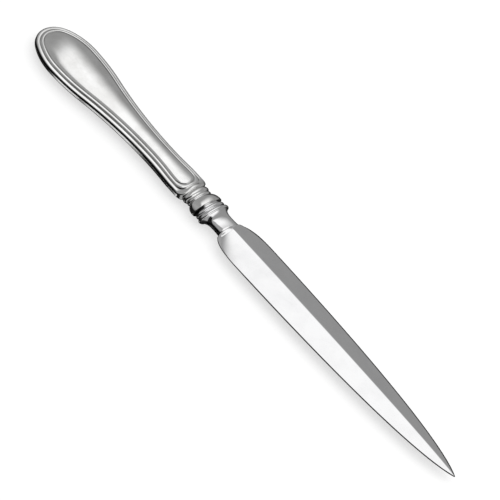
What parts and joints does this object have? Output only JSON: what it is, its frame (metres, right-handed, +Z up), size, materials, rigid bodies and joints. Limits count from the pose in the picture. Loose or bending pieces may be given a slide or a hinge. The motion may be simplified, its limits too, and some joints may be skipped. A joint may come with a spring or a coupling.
{
  "type": "letter opener",
  "caption": "Letter opener with a hollow thread-bordered silver handle, moulded collar and a ridged, dagger-shaped steel blade.",
  "frame": {"origin": "centre of the bounding box, on the long axis of handle and blade, level with the seam of the handle", "axes": "+X from the butt to the tip of the blade, +Y across the flat of the blade, +Z up through its thickness"},
  "size_m": [0.2152, 0.0216, 0.0066],
  "materials": {
    "silver": "polished",
    "silver_solder": "polished",
    "blade_steel": "mirror polished",
    "cement": "matt resin"
  },
  "bodies": {
    "root": {"handle_front_shell": "silver", "handle_back_shell": "silver", "seam_solder": "silver_solder", "handle_cement": "cement", "ring_ferrule": "silver", "bulb_collar": "silver", "blade": "blade_steel"}
  },
  "joints": []
}
